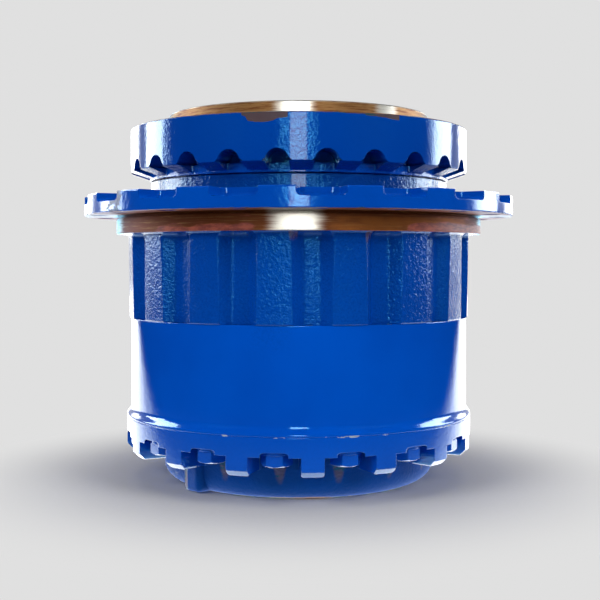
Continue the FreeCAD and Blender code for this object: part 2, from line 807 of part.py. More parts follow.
# ---- main bearings ----
def bearing(low, load_up):
    """Angular contact ball bearing: inner ring, outer ring, balls with their cage."""
    high = low + bearing_width
    middle = (low + high) / 2
    race = Part.makeTorus(ball_circle, ball_r + running_gap, V(0, 0, middle), UP)
    inner = lathe([(bearing_bore_r, low, 1.5), (bearing_bore_r + ring_wall, low),
                   (bearing_bore_r + ring_wall, high), (bearing_bore_r, high, 1.5)]).cut(race)
    outer = lathe([(bearing_outer_r - ring_wall, low), (bearing_outer_r, low, 1.5),
                   (bearing_outer_r, high, 1.5), (bearing_outer_r - ring_wall, high)]).cut(race)
    open_low = middle if load_up else low
    open_high = high if load_up else middle
    outer = outer.cut(disc(bearing_outer_r - ring_wall + open_shoulder_cut, open_low, open_high))
    cage = pipe(ball_circle - cage_wall / 2, ball_circle + cage_wall / 2, middle - cage_width / 2,
                middle + cage_width / 2)
    pocket = Part.makeSphere(ball_r + running_gap, V(ball_circle, 0, middle), V(1, 0, 0))
    cage = cage.cut(spread(pocket, ball_count))
    ball = Part.makeSphere(ball_r, V(ball_circle, 0, middle), V(1, 0, 0))
    return inner, outer, compound([cage] + spread(ball, ball_count))


def preload_shim():
    return pipe(bearing_bore_r + seat_gap, bearing_bore_r + ring_wall - 3, hub_foot_z, lower_bearing_z)


# ---- face seal ----
def seal_ring(side):
    """Metal ring whose flat lip faces its twin; side is +1 on the hub and -1 on the housing."""
    face_z = seal_z + side * seal_half_gap
    lip_z = face_z + side * seal_lip_thickness
    end_z = seal_z + side * seal_ring_length
    return lathe([(seal_ring_bore_r, face_z), (seal_lip_r, face_z), (seal_lip_r, lip_z, 1.0),
                  (seal_body_r, lip_z, 2.0), (seal_body_r, end_z, 1.0), (seal_ring_bore_r, end_z)])


def toric_ring(side):
    wall_r = (seal_wall_mouth_r + seal_wall_back_r) / 2
    centre_r = (seal_body_r + wall_r) / 2
    return Part.makeTorus(centre_r, toric_r, V(0, 0, seal_z + side * toric_offset), UP)


# ---- output stage ----
def web_angle():
    return output_first_angle + 180.0 / output_planet_count


def carrier_dowel_angle():
    return output_first_angle + 90.0 / output_planet_count


def screw_seat_z():
    return carrier_low_z + 2 * carrier_screw_r + 0.5


def screw_end_z():
    return screw_seat_z() + carrier_screw_length


def carrier_dowel_top_z():
    return hub_foot_z + carrier_dowel_length / 2


def output_tip_r(teeth):
    return teeth * module / 2 + module - tip_shortening


def lock_pin(radius, depth_gap):
    """Radial pin through the upper cheek into a planet pin."""
    pin_face_r = output_centre + output_pin_r
    inner_r = pin_face_r - lock_pin_depth - depth_gap
    height = hub_foot_z - upper_cheek / 2
    length = carrier_r - 0.6 + depth_gap * 2 - inner_r
    return Part.makeCylinder(radius, length, V(inner_r, 0, height), V(1, 0, 0))


def output_carrier():
    sun_space_r = output_tip_r(output_sun_teeth) + sun_pocket_gap
    body = lathe([
        (sun_space_r, carrier_low_z),
        (carrier_r, carrier_low_z, 2.0),
        (carrier_r, hub_foot_z, 2.0),
        (carrier_mouth_r, hub_foot_z),
        (carrier_mouth_r, pocket_high_z),
        (sun_space_r, pocket_high_z),
    ])
    count = output_planet_count
    pocket_r = output_tip_r(output_planet_teeth) + planet_pocket_gap
    cuts = spread(post(pocket_r, pocket_low_z, pocket_high_z, output_centre), count, output_first_angle)
    pin_hole = post(output_pin_r + pin_gap, carrier_low_z - 1, hub_foot_z + 1, output_centre)
    cuts += spread(pin_hole, count, output_first_angle)
    screw_hole = post(carrier_screw_r + bolt_clearance, carrier_low_z - 1, hub_foot_z + 1, carrier_screw_circle)
    cuts += spread(screw_hole, count, web_angle())
    cuts += spread(post(carrier_screw_head_r + 0.5, carrier_low_z - 1, screw_seat_z(), carrier_screw_circle),
                   count, web_angle())
    dowel_hole = post(carrier_dowel_r + seat_gap, hub_foot_z - carrier_dowel_length / 2 - 1, hub_foot_z + 1,
                      carrier_screw_circle)
    cuts += spread(dowel_hole, count, carrier_dowel_angle())
    cuts += spread(lock_pin(lock_pin_r + seat_gap, 1.0), count, output_first_angle)
    return body.cut(cuts)


def output_pins():
    pin = post(output_pin_r, carrier_low_z + 0.5, hub_foot_z - 0.5, output_centre)
    pin = pin.cut(lock_pin(lock_pin_r + seat_gap, 1.0))
    return compound(spread(pin, output_planet_count, output_first_angle))


def output_lock_pins():
    return compound(spread(lock_pin(lock_pin_r, 0.0), output_planet_count, output_first_angle))


def carrier_screws():
    head = post(carrier_screw_head_r, screw_seat_z() - 2 * carrier_screw_r, screw_seat_z(), carrier_screw_circle)
    shank = post(carrier_screw_r, screw_seat_z(), screw_end_z(), carrier_screw_circle)
    socket = hexagon(screw_socket_flats, carrier_low_z - overcut, carrier_low_z + screw_socket_depth)
    socket.translate(V(carrier_screw_circle, 0, 0))
    return compound(spread(head.fuse(shank).cut(socket), output_planet_count, web_angle()))


def carrier_dowels():
    pin = post(carrier_dowel_r, hub_foot_z - carrier_dowel_length / 2, carrier_dowel_top_z(), carrier_screw_circle)
    return compound(spread(pin, output_planet_count, carrier_dowel_angle()))


def thrust_washers(pin_r, washer_r, distance, heights, count, first):
    washers = []
    for low in heights:
        ring = pipe(pin_r + 0.3, washer_r, low, low + washer_thickness)
        ring.translate(V(distance, 0, 0))
        washers += spread(ring, count, first)
    return compound(washers)


def planet(teeth, bore_r, low, high, distance, direction):
    turn = planet_turn(teeth, direction) - direction
    wheel = gear(teeth, low, high, turn).cut(disc(bore_r, low - 1, high + 1))
    wheel.translate(V(distance, 0, 0))
    return turned_copy(wheel, direction)


def roller_set(roller_r, circle_r, count, low, high, distance, direction):
    """Cage with its rollers round one planet pin."""
    wall = roller_r * cage_share
    cage = pipe(circle_r - wall, circle_r + wall, low, high)
    pocket = post(roller_r + running_gap, low + cage_rim, high - cage_rim, circle_r)
    cage = cage.cut(spread(pocket, count))
    roller = post(roller_r, low + cage_rim + running_gap, high - cage_rim - running_gap, circle_r)
    group = compound([cage] + spread(roller, count))
    group.translate(V(distance, 0, 0))
    return turned_copy(group, direction)


def output_sun_gear():
    low = input_carrier_low_z + input_carrier_lip
    high = pocket_high_z - sun_top_gap
    turn = sun_turn(output_sun_teeth, output_planet_teeth, output_first_angle)
    groove_r = output_tip_r(output_sun_teeth) - sun_ring_depth
    ring_low = sun_ring_z()
    ring_cut = pipe(groove_r, output_centre, ring_low - seat_gap, ring_low + sun_ring_thickness + seat_gap)
    return gear(output_sun_teeth, low, high, turn).cut([disc(sun_bore_r, low - 1, high + 1), ring_cut])


def sun_ring_z():
    return input_carrier_top_z + end_play


def sun_retaining_ring():
    inner = output_tip_r(output_sun_teeth) - sun_ring_depth + seat_gap
    return split_ring(inner, sun_ring_r, sun_ring_z(), sun_ring_z() + sun_ring_thickness, sun_ring_slit)


# ---- input stage ----
def input_carrier():
    low = input_carrier_low_z
    body = pipe(input_carrier_lip_r, input_carrier_r, low, input_carrier_top_z)
    teeth = output_sun_teeth
    pitch_r = teeth * module / 2
    turn = sun_turn(teeth, output_planet_teeth, output_first_angle)
    socket = gear_face(teeth, module, pitch_r - root_depth * module + spline_play, output_tip_r(teeth) + spline_play,
                       flank_thinning - spline_play, turn)
    socket.translate(V(0, 0, low + input_carrier_lip))
    cuts = [socket.extrude(V(0, 0, input_carrier_thickness))]
    pin_hole = post(input_pin_r + pin_gap, low - 1, input_carrier_top_z + 1, input_centre)
    cuts += spread(pin_hole, input_planet_count, input_first_angle)
    lightening = post(input_lightening_r, low - 1, input_carrier_top_z + 1, input_centre)
    cuts += spread(lightening, input_planet_count, input_first_angle + 180.0 / input_planet_count)
    return body.cut(cuts)


def input_pins():
    ring_low = input_washer_low_z - input_ring_thickness
    pin = disc(input_pin_r, ring_low - input_pin_tail, input_carrier_top_z - 0.5)
    pin = pin.cut(pipe(input_pin_r - input_ring_depth, input_pin_r + 1, ring_low - 0.1, input_washer_low_z))
    pin.translate(V(input_centre, 0, 0))
    return compound(spread(pin, input_planet_count, input_first_angle))


def input_retaining_rings():
    low = input_washer_low_z - input_ring_thickness
    inner = input_pin_r - input_ring_depth + seat_gap
    ring = split_ring(inner, input_ring_r, low, input_washer_low_z, input_ring_slit)
    ring.translate(V(input_centre, 0, 0))
    return compound(spread(ring, input_planet_count, input_first_angle))


def coupling_low_z():
    return coupling_top_z() - coupling_length


def coupling_top_z():
    return hub_cavity_z + hub_cavity_depth + coupling_reach


def spline_face(play):
    pitch_r = spline_teeth * spline_module / 2
    return gear_face(spline_teeth, spline_module, pitch_r - spline_root + play, pitch_r + spline_tip + play, -play)


def input_shaft():
    foot_z = thrust_pad_z + thrust_pad_height + end_play
    spline_low = coupling_low_z()
    shaft_top = spline_low + coupling_engagement
    turn = sun_turn(input_sun_teeth, input_planet_teeth, input_first_angle)
    parts = [disc(input_foot_r, foot_z, input_planet_low_z + 1)]
    parts.append(gear(input_sun_teeth, input_planet_low_z, input_planet_top_z, turn))
    parts.append(disc(input_shaft_r, input_planet_top_z - 1, spline_low + 1))
    spline = spline_face(0.0)
    spline_foot = spline_low - coupling_ring_thickness - spline_relief
    spline.translate(V(0, 0, spline_foot))
    parts.append(spline.extrude(V(0, 0, shaft_top - spline_foot)))
    shaft = parts[0].fuse(parts[1:])
    ring_low = spline_low - coupling_ring_thickness
    return shaft.cut(pipe(input_shaft_r - coupling_ring_groove, coupling_r, ring_low - 0.1, spline_low))


def coupling_ring():
    low = coupling_low_z() - coupling_ring_thickness
    inner = input_shaft_r - coupling_ring_groove + seat_gap
    return split_ring(inner, coupling_ring_r, low, coupling_low_z(), coupling_ring_slit)


def motor_coupling():
    low = coupling_low_z()
    high = coupling_top_z()
    sleeve = lathe([(coupling_blank_r, low), (coupling_r, low, 1.5), (coupling_r, high, 1.5),
                    (coupling_blank_r, high)])
    hole = spline_face(spline_play)
    hole.translate(V(0, 0, low - 1))
    return sleeve.cut(hole.extrude(V(0, 0, high - low + 2)))


def shaft_seal():
    low = hub_cavity_z - shaft_seal_width - seal_seat_floor
    high = low + shaft_seal_width
    bore_r = input_shaft_r + shaft_seal_lip_gap
    return lathe([(bore_r, low + shaft_seal_lip_low), (shaft_seal_lip_r, low + shaft_seal_lip_low),
                  (shaft_seal_shell_r, low), (shaft_seal_r, low), (shaft_seal_r, high), (shaft_seal_shell_r, high),
                  (shaft_seal_shell_r, low + shaft_seal_lip_high), (bore_r, low + shaft_seal_lip_high)])


# ---- all pieces ----
def all_nodes():
    nodes = {
        "hub_spindle": hub_spindle(),
        "rotating_housing": rotating_housing(),
        "ring_gear": ring_gear(),
        "end_cover": end_cover(),
        "cover_bolts": cover_bolts(),
        "cover_lock_washers": lock_washers(),
        "housing_dowels": housing_dowels(),
        "housing_o_ring": o_ring(*housing_groove()),
        "cover_o_ring": o_ring(*cover_groove()),
        "thrust_pad": thrust_pad(),
        "preload_shim": preload_shim(),
        "hub_seal_ring": seal_ring(1),
        "housing_seal_ring": seal_ring(-1),
        "hub_toric_ring": toric_ring(1),
        "housing_toric_ring": toric_ring(-1),
        "output_carrier": output_carrier(),
        "output_carrier_screws": carrier_screws(),
        "output_carrier_dowels": carrier_dowels(),
        "output_planet_pins": output_pins(),
        "output_lock_pins": output_lock_pins(),
        "output_sun_gear": output_sun_gear(),
        "sun_retaining_ring": sun_retaining_ring(),
        "input_carrier": input_carrier(),
        "input_planet_pins": input_pins(),
        "input_retaining_rings": input_retaining_rings(),
        "input_shaft": input_shaft(),
        "motor_coupling": motor_coupling(),
        "coupling_retaining_ring": coupling_ring(),
        "shaft_seal": shaft_seal(),
    }
    nodes["oil_plugs"], nodes["plug_sealing_rings"] = plug_parts()
    for name, low, load_up in (("upper", upper_bearing_z, False), ("lower", lower_bearing_z, True)):
        inner, outer, balls = bearing(low, load_up)
        nodes[name + "_bearing_inner_ring"] = inner
        nodes[name + "_bearing_outer_ring"] = outer
        nodes[name + "_bearing_balls"] = balls
    nodes["output_thrust_washers"] = thrust_washers(
        output_pin_r, output_washer_r, output_centre, (pocket_low_z, pocket_high_z - washer_thickness),
        output_planet_count, output_first_angle)
    nodes["input_thrust_washers"] = thrust_washers(
        input_pin_r, input_washer_r, input_centre, (input_washer_low_z, input_carrier_low_z - washer_thickness),
        input_planet_count, input_first_angle)
    side = washer_thickness + end_play
    for index, direction in enumerate(stations(output_planet_count, output_first_angle), 1):
        nodes["output_planet_gear_%d" % index] = planet(
            output_planet_teeth, output_planet_bore_r, pocket_low_z + side, pocket_high_z - side,
            output_centre, direction)
        nodes["output_rollers_%d" % index] = roller_set(
            output_roller_r, output_roller_circle, output_roller_count, pocket_low_z + side,
            pocket_high_z - side, output_centre, direction)
    for index, direction in enumerate(stations(input_planet_count, input_first_angle), 1):
        nodes["input_planet_gear_%d" % index] = planet(
            input_planet_teeth, input_planet_bore_r, input_planet_low_z, input_planet_top_z,
            input_centre, direction)
        nodes["input_rollers_%d" % index] = roller_set(
            input_roller_r, input_roller_circle, input_roller_count, input_planet_low_z,
            input_planet_top_z, input_centre, direction)
    return nodes


def main():
    os.makedirs("parts", exist_ok=True)
    for name, shape in all_nodes().items():
        shape.exportStep("parts/%s.step" % name)
        print(name, len(shape.Solids), shape.isValid(), round(shape.Volume))


main()
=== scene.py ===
"""Dresses an excavator final drive: gloss paint on castings, machined bands, wear, and a plain studio."""

import json
import math

import bpy
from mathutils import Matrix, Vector


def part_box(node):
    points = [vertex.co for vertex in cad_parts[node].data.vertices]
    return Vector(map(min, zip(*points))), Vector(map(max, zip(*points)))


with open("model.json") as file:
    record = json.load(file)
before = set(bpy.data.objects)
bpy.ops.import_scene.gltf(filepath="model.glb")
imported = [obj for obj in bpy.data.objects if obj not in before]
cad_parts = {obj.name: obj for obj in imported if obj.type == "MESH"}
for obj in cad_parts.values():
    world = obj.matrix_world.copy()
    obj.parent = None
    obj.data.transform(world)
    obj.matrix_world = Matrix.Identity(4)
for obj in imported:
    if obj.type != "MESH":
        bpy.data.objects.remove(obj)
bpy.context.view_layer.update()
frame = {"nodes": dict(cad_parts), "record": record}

bl_info = {
    "name": "Excavator Final Drive",
    "version": (1, 0, 0),
    "blender": (4, 5, 0),
    "location": "3D View > Sidebar > Final Drive",
    "description": "Finishes the pieces of a planetary final drive and lights them in a plain studio",
    "category": "Object",
}

NODES = frame["nodes"]
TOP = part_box("hub_spindle")[1].z
RING_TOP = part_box("ring_gear")[1].z
RING_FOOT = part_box("ring_gear")[0].z
HOUSING_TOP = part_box("rotating_housing")[1].z
MOUNTS = {mount["name"]: mount for mount in frame["record"]["mounts"]}
FRAME_FACE = MOUNTS["frame_face"]["pos_m"][2]
SPROCKET_BACK = MOUNTS["sprocket_face"]["pos_m"][2]
SPROCKET_PILOT_R = MOUNTS["sprocket_pilot"]["dims"]["r_mm"] / 1000
MOTOR_BORE_R = MOUNTS["motor_pilot"]["dims"]["r_mm"] / 1000
PILOT = MOUNTS["sprocket_pilot"]
PILOT_END = PILOT["pos_m"][2] - PILOT["dims"]["length_mm"] / 2000 - 0.0007
NECK_FOOT = SPROCKET_BACK + 0.0232
NECK_LIGHT_R = 0.1815
FLANGE_R = 0.2040
SPROCKET_R = 0.2590
HOUSING_BORE_R = 0.1735
DRUM_BORE_R = 0.1765
COVER_BORE_R = 0.1499
WALL_R = 0.1715
WALL_FILLET_R = 0.1745
MEAN_WALL_R = 0.2
BOLT_CIRCLE = 0.190
BOLT_SEAT_R = 0.0243
BOLT_BEARING = -7.1
BOLT_PITCH = 22.5
HEAD_FOOT = RING_FOOT - 0.0155


# ---------------------------------------------------------------- shader expressions

class Flow:
    """A shader socket that takes part in Python arithmetic."""

    def __init__(self, graph, socket):
        self.graph = graph
        self.socket = socket

    def math(self, operation, *others):
        return self.graph.node("Math", {"operation": operation}, dict(enumerate((self,) + others)))

    def __add__(self, other):
        return self.math("ADD", other)

    __radd__ = __add__

    def __mul__(self, other):
        return self.math("MULTIPLY", other)

    __rmul__ = __mul__

    def __sub__(self, other):
        return self.math("SUBTRACT", other)

    def __rsub__(self, other):
        return self.graph.node("Math", {"operation": "SUBTRACT"}, {0: other, 1: self})

    def __truediv__(self, other):
        return self.math("DIVIDE", other)

    def __neg__(self):
        return self * -1.0

    def either(self, other):
        return self.math("MAXIMUM", other)

    def rise(self, low, high):
        """0 below low, 1 above high, smooth between; falls where low is above high."""
        span = {"From Min": min(low, high), "From Max": max(low, high),
                "To Min": 0.0 if low < high else 1.0, "To Max": 1.0 if low < high else 0.0}
        return self.graph.node("MapRange", {"interpolation_type": "SMOOTHSTEP"}, {"Value": self, **span})

    def within(self, low, high, soft):
        """1 between low and high, with soft shoulders."""
        return self.rise(low - soft, low + soft) * self.rise(high + soft, high - soft)


class Graph:
    """Builds one node tree."""

    def __init__(self, tree):
        self.tree = tree
        tree.nodes.clear()

    def node(self, kind, settings=None, inputs=None, output=0):
        """Adds one node: its settings first, then the values or links of its sockets."""
        made = self.tree.nodes.new("ShaderNode" + kind)
        for name, value in (settings or {}).items():
            if name == "stops":
                self.set_stops(made.color_ramp, value)
            else:
                setattr(made, name, value)
        for key, value in (inputs or {}).items():
            if isinstance(value, Flow):
                self.tree.links.new(value.socket, made.inputs[key])
            else:
                made.inputs[key].default_value = value
        return Flow(self, made.outputs[output]) if made.outputs else None

    @staticmethod
    def set_stops(ramp, stops):
        while len(ramp.elements) < len(stops):
            ramp.elements.new(0.5)
        for element, (position, colour) in zip(ramp.elements, stops):
            element.position = position
            element.color = colour

    def place(self):
        return self.node("TexCoord", output="Object")

    def parts(self, vector):
        outputs = self.node("SeparateXYZ", inputs={0: vector}).socket.node.outputs
        return [Flow(self, output) for output in outputs]

    def joined(self, x, y, z):
        return self.node("CombineXYZ", inputs={0: x, 1: y, 2: z})

    def noise(self, vector, scale, detail=2.0, roughness=0.5, distortion=0.0):
        return self.node("TexNoise", {"noise_dimensions": "3D"},
                         {"Vector": vector, "Scale": scale, "Detail": detail, "Roughness": roughness,
                          "Distortion": distortion})

    def cells(self, vector, scale):
        return self.node("TexVoronoi", {"feature": "F1"}, {"Vector": vector, "Scale": scale})

    def mix(self, factor, low, high):
        """Colour mix from low to high."""
        return self.node("Mix", {"data_type": "RGBA"}, {0: factor, 6: low, 7: high}, output=2)

    def lerp(self, factor, low, high):
        """Number mix from low to high."""
        return self.node("Mix", {"data_type": "FLOAT"}, {0: factor, 2: low, 3: high})

    def bump(self, height, distance, strength=1.0, normal=None):
        inputs = {"Height": height, "Distance": distance, "Strength": strength}
        if normal is not None:
            inputs["Normal"] = normal
        return self.node("Bump", None, inputs)

    def soft_edges(self, radius):
        """Normal that rolls over sharp edges, as thick paint does."""
        return self.node("Bevel", {"samples": 4}, {"Radius": radius})


class Around:
    """Place of a surface point: radius, height and bearing in degrees from the front, + to the right."""

    def __init__(self, graph):
        self.graph = graph
        self.point = graph.place()
        x, y, z = graph.parts(self.point)
        self.x, self.y, self.z = x, y, z
        self.radius = (x * x + y * y).math("SQRT")
        self.bearing = x.math("ARCTAN2", -y) * math.degrees(1.0)
        self.arc = self.bearing * math.radians(1.0) * MEAN_WALL_R

    def window(self, low, high, soft):
        return self.bearing.within(low, high, soft)

    def wrap(self, around=1.0, up=1.0):
        """Point on the unrolled wall, stretched along or across it."""
        return self.graph.joined(self.arc * around, self.z * up, self.radius * up)

    def profile(self, stops, low, high):
        """Piecewise value over the bearing from (bearing, value) pairs, 0 outside."""
        span = high - low
        ramp = [((bearing - low) / span, (value, value, value, 1.0)) for bearing, value in stops]
        place = (self.bearing - low) / span
        return self.graph.node("ValToRGB", {"stops": ramp}, {0: place}) * self.window(low, high, 0.05)


def colour(value):
    return (value[0], value[1], value[2], 1.0)


def grey(value):
    return colour((value, value, value))


def finish_material(graph, varying, **uniform):
    """Ends a graph in a Principled shader: varying changes over the surface, uniform is the same all over."""
    settings = {key.replace("_", " "): value for key, value in uniform.items()}
    shader = graph.node("BsdfPrincipled", inputs={**settings, **varying})
    graph.node("OutputMaterial", inputs={0: shader})


def new_graph(name):
    material = bpy.data.materials.new(name)
    material.use_nodes = True
    return material, Graph(material.node_tree)


def give(material, *names):
    """Gives a material to whole nodes."""
    for name in names:
        data = NODES[name].data
        data.materials.clear()
        data.materials.append(material)


# ---------------------------------------------------------------- finishes

def turned_metal(graph, at, settings, bright, orange, gilt):
    """Lathe-turned band that has browned in storage.

    bright is 1 where the steel is still unrusted and where a painted highlight of the lamps lies, orange
    where it rusts, and gilt turns brown film golden.
    """
    grooves = graph.noise(graph.joined(at.radius * 9.0, at.z * 9.0, at.bearing * 0.004), 420.0, 1.0, 0.6)
    streak = graph.noise(graph.joined(at.arc * 3.0, at.z * 60.0, at.radius * 30.0), 9.0, 5.0, 0.66)
    cloud = graph.noise(graph.joined(at.arc * 10.0, at.z * 30.0, at.radius * 10.0), 4.0, 3.0, 0.6)
    # Unrusted steel, and a painted highlight where the lamps' reflection falls on the band.
    clean_and_highlit = (bright * 0.75 + streak * 0.55 - 0.25).rise(0.12, 0.62)
    golden = streak.rise(0.50 - gilt, 0.74 - gilt)
    film = graph.mix(golden, colour(settings.steel_dark), colour(settings.steel_gold))
    film = graph.mix((orange * 0.8 + cloud * 0.5).rise(0.62, 0.92), film, colour(settings.rust))
    base = graph.mix(clean_and_highlit, film, colour(settings.steel_bright))
    pits = graph.cells(at.wrap(1.0, 1.3), 520.0).rise(0.22, 0.10) * cloud.rise(0.50, 0.66)
    base = graph.mix(pits * 0.85, base, colour(settings.steel_pit))
    roughness = graph.lerp(clean_and_highlit, 0.52 + grooves * 0.12, 0.26 + grooves * 0.18) + pits * 0.2
    metallic = graph.lerp(clean_and_highlit, 0.72, 0.92) * (1.0 - pits)
    height = grooves * 0.035 - pits * 0.10
    return base, roughness, metallic, height


def paint_layers(graph, at, settings, cast, painted_shade):
    """Colour, roughness and height of the gloss paint.

    cast is 1 where the casting under it is rough, and the shade mask is 1 where painted shade darkens the
    blue.
    """
    sag = graph.noise(at.wrap(1.0, 0.4), 34.0, 2.0, 0.5)
    peel = graph.noise(at.point, 210.0, 2.0, 0.5)
    lumps = graph.noise(at.point, 460.0, 2.0, 0.6)
    swirl = graph.noise(at.point, 240.0, 2.0, 0.5)
    cloud = graph.noise(at.point, 8.0, 3.0, 0.5)
    shade = graph.mix(cloud.rise(0.35, 0.68), colour(settings.paint_deep), colour(settings.paint))
    # Painted shade in the hollows between the lumps of the casting.
    shade = graph.mix(cast * lumps.rise(0.60, 0.34) * 0.45, shade, colour(settings.paint_in_shade))
    # Painted shade: the blue darkens under flanges and on the parts the lamps light less.
    shade = graph.mix(painted_shade, shade, colour(settings.paint_in_shade))
    dust = graph.noise(at.point, 26.0, 6.0, 0.72).rise(0.66, 0.82) * 0.05
    base = graph.mix(dust, shade, colour(settings.paint_pale))
    smooth_height = sag * 0.50 + peel * 0.09
    rough_height = lumps * 0.50 + swirl * 0.80 + sag * 0.3
    height = graph.lerp(cast, smooth_height, rough_height)
    roughness = graph.lerp(cast, 0.09, 0.15) + dust
    return base, roughness, height


def chip_field(graph, at, threshold, scale=70.0):
    """Ragged spots where the paint has come off."""
    spots = graph.noise(at.point, scale, 5.0, 0.72, 0.4)
    return spots.rise(threshold, threshold + 0.03)


def nothing(graph, at):
    return at.z * 0.0


def painted_casting(name, settings, bare, cast, chips, primer=nothing, stain=nothing, scuff_and_highlight=nothing,
                    bright=nothing, orange=nothing, brown=nothing, painted_shade=nothing, matt=nothing, gilt=0.0):
    """A casting whose bare bands, chips, primer and stains are masks worked out from the place on it."""
    material, graph = new_graph(name)
    at = Around(graph)
    bare, cast, chips, primer, stain, scuff_and_highlight, brown, painted_shade, matt = (
        mask(graph, at) for mask in (bare, cast, chips, primer, stain, scuff_and_highlight, brown, painted_shade, matt))
    metal_base, metal_rough, metallic, metal_height = turned_metal(
        graph, at, settings, bright(graph, at), orange(graph, at), gilt)
    grime = graph.noise(at.wrap(1.0, 3.0), 90.0, 4.0, 0.65).rise(0.38, 0.66)
    primer_tone = graph.mix(grime, colour(settings.primer_dark), colour(settings.primer))
    metal_base = graph.mix(primer, metal_base, primer_tone)
    metal_rough = graph.lerp(primer, metal_rough, 0.5)
    metallic = metallic * (1.0 - primer)
    paint_base, paint_rough, paint_height = paint_layers(graph, at, settings, cast, painted_shade)
    paint_base = graph.mix(stain, paint_base, colour(settings.stain))
    paint_base = graph.mix(scuff_and_highlight, paint_base, colour(settings.scuff_and_highlight))
    paint_rough = graph.lerp(matt, graph.lerp(stain.either(scuff_and_highlight), paint_rough, 0.5), 0.8)
    patches = graph.noise(at.wrap(0.6, 1.6), 70.0, 3.0, 0.6).rise(0.44, 0.52)
    chip_tone = graph.mix(patches, colour(settings.chip_dark), colour(settings.chip))
    chip_tone = graph.mix(brown, chip_tone, colour(settings.chip))
    paint_base = graph.mix(chips, paint_base, chip_tone)
    paint_rough = graph.lerp(chips, paint_rough, 0.55)
    base = graph.mix(bare, paint_base, metal_base)
    roughness = graph.lerp(bare, paint_rough, metal_rough)
    coat = (1.0 - bare) * (1.0 - chips) * (1.0 - stain * 0.7) * (1.0 - matt)
    height = graph.lerp(bare, paint_height - chips * 0.30, metal_height - 0.25)
    normal = graph.bump(height, 0.0011, 1.0, graph.soft_edges(settings.edge_radius))
    finish_material(graph, {"Base Color": base, "Roughness": roughness, "Metallic": metallic * bare,
                            "Coat Weight": coat * settings.coat, "Normal": normal},
                    IOR=1.5, Coat_Roughness=0.06, Coat_IOR=1.5, Specular_Tint=colour(settings.gloss_tint))
    return material


def hub_finish(settings):
    def bare(graph, at):
        spigot = at.z.rise(FRAME_FACE + 0.0002, FRAME_FACE + 0.0008)
        inside = at.radius.rise(MOTOR_BORE_R + 0.003, MOTOR_BORE_R + 0.0015)
        below = at.z.rise(HOUSING_TOP + 0.0005, HOUSING_TOP - 0.0005)
        face = at.z.rise(FRAME_FACE - 0.0008, FRAME_FACE - 0.0002)
        return spigot.either(inside).either(below).either(face)

    def cast(graph, at):
        front = at.window(-7.0, 6.0, 3.5) * 0.75
        side = at.window(-49.0, -40.0, 4.0).either(at.window(42.0, 50.0, 4.0)) * 0.35
        under = at.z.rise(FRAME_FACE - 0.050, FRAME_FACE - 0.054)
        return under.either(front).either(side).either(at.z * 0.0 + 0.12)

    def depth(graph, at):
        """How far the lost paint reaches down from the upper edge, in metres."""
        left = at.profile([(-17.2, 0.30), (-16.0, 0.42), (-15.2, 0.86), (-12.0, 0.97), (-9.4, 1.0),
                           (-7.6, 0.86), (-6.4, 0.66), (-3.4, 0.60)], -17.2, -3.2)
        right = at.profile([(12.0, 0.10), (20.0, 0.14), (20.8, 0.26), (27.0, 0.34), (30.6, 0.52),
                            (31.8, 0.50)], 12.0, 32.0)
        ragged = graph.noise(at.wrap(), 150.0, 3.0, 0.7) - 0.5
        return (left.either(right) * 0.0112 + ragged * 0.0022) * left.either(right).rise(0.02, 0.06)

    def chips(graph, at):
        rim = at.radius.rise(FLANGE_R - 0.001, FLANGE_R)
        lost = (at.z + depth(graph, at) - FRAME_FACE + 0.0006).rise(0.0, 0.0004) * rim
        lip = at.z.rise(FRAME_FACE - 0.0022, FRAME_FACE - 0.0012)
        worn = (graph.noise(at.wrap(), 60.0, 4.0, 0.7) * 0.5 + 0.5) * lip
        few = chip_field(graph, at, 0.745, 95.0) * at.radius.rise(FLANGE_R - 0.004, FLANGE_R)
        return lost.either(worn.rise(0.70, 0.80) * 0.75).either(few)

    def brown(graph, at):
        below = FRAME_FACE - at.z
        sloped = (below - (at.bearing + 15.6) * -0.0004).rise(0.0030, 0.0036)
        left = at.window(-15.6, -3.0, 0.3) * sloped
        return left.either(below.rise(0.0024, 0.0036) * at.window(20.0, 33.0, 0.4))

    # Unrusted steel and painted highlight: the front lamp's reflection, a light patch on the right and the
    # top edge.
    def bright(graph, at):
        front = at.window(-8.5, 5.0, 6.0)
        right = at.window(33.0, 44.0, 4.0) * 0.7
        return front.either(right).either(at.z.rise(TOP - 0.003, TOP - 0.0005) * 0.4)

    def orange(graph, at):
        root = at.z.rise(FRAME_FACE + 0.0085, FRAME_FACE + 0.0025)
        return root * at.window(-2.0, 60.0, 6.0).either(at.window(-80.0, -20.0, 8.0) * 0.7)

    # Painted shade: the hub's flange above the housing is darkened, as the lamps light it less.
    def painted_shade(graph, at):
        return at.z.rise(HOUSING_TOP + 0.0005, HOUSING_TOP + 0.012) * 0.68

    return painted_casting("hub_paint", settings, bare, cast, chips, bright=bright, orange=orange,
                           brown=brown, painted_shade=painted_shade, gilt=0.16)


